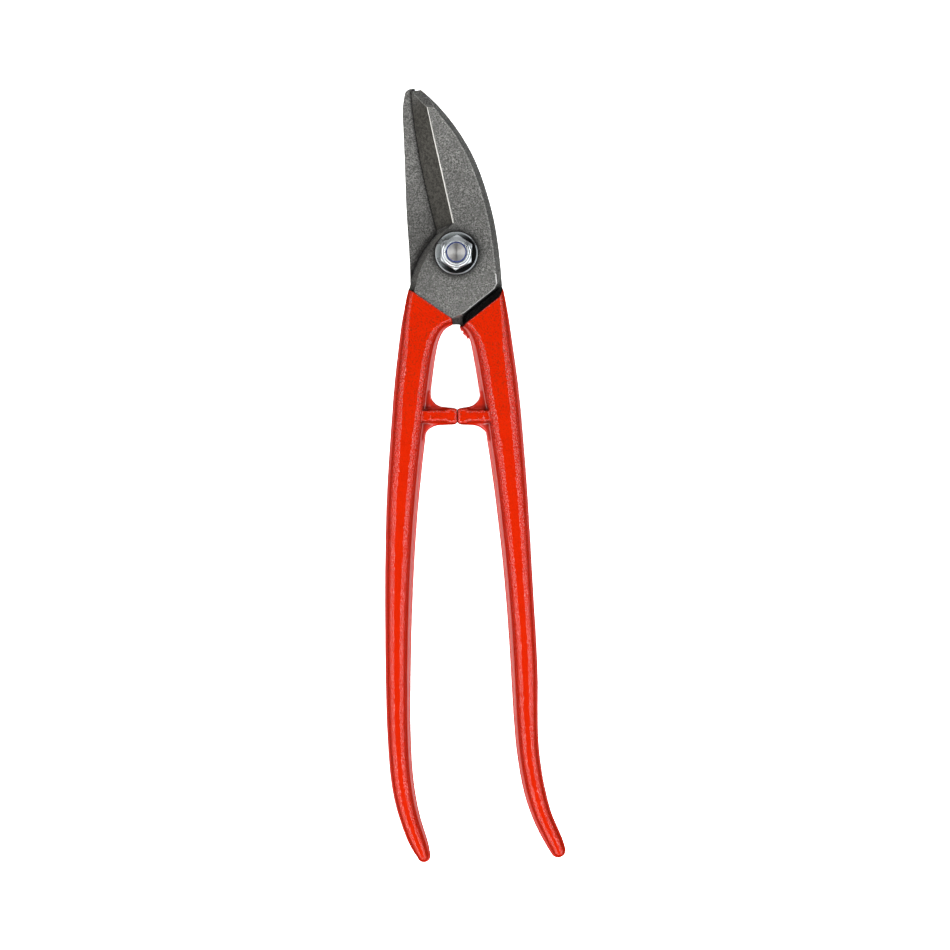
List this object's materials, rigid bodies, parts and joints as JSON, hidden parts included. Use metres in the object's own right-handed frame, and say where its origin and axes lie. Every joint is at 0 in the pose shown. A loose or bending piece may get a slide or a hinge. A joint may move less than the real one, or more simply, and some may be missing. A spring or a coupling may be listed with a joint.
{
  "type": "tinner's snips",
  "caption": "Forged single-pivot sheet metal snips with curved jaws, long lacquered handles, stop lugs and a self-locking pivot nut.",
  "frame": {"origin": "on the pivot axis at the outer flat face of the bolt's head, which faces away from the nut", "axes": "+Z along the pivot axis from the bolt's head to the nut, +Y along the closed jaws to the tips, +X to the right seen from the nut"},
  "size_m": [0.0748, 0.3199, 0.0298],
  "materials": {
    "forged_steel": "shot-blasted forging with ground bevels, lightly oiled",
    "handle_coating": "glossy red dipped lacquer over forging scale",
    "zinc_plate": "bright zinc-plated steel",
    "nylon": "dark blue nylon"
  },
  "bodies": {
    "front": {"front_half": "forged_steel", "front_handle_coating": "handle_coating", "pivot_bolt": "zinc_plate", "head_washer": "zinc_plate", "nut_washer": "zinc_plate", "lock_nut": "zinc_plate", "nylon_insert": "nylon"},
    "rear": {"rear_half": "forged_steel", "rear_handle_coating": "handle_coating"}
  },
  "joints": [
    {"name": "pivot", "type": "hinge", "parent": "front", "child": "rear", "pos_m": [0, 0, 0.0134], "axis": [0, 0, 1], "range_deg": [0, 35]}
  ]
}
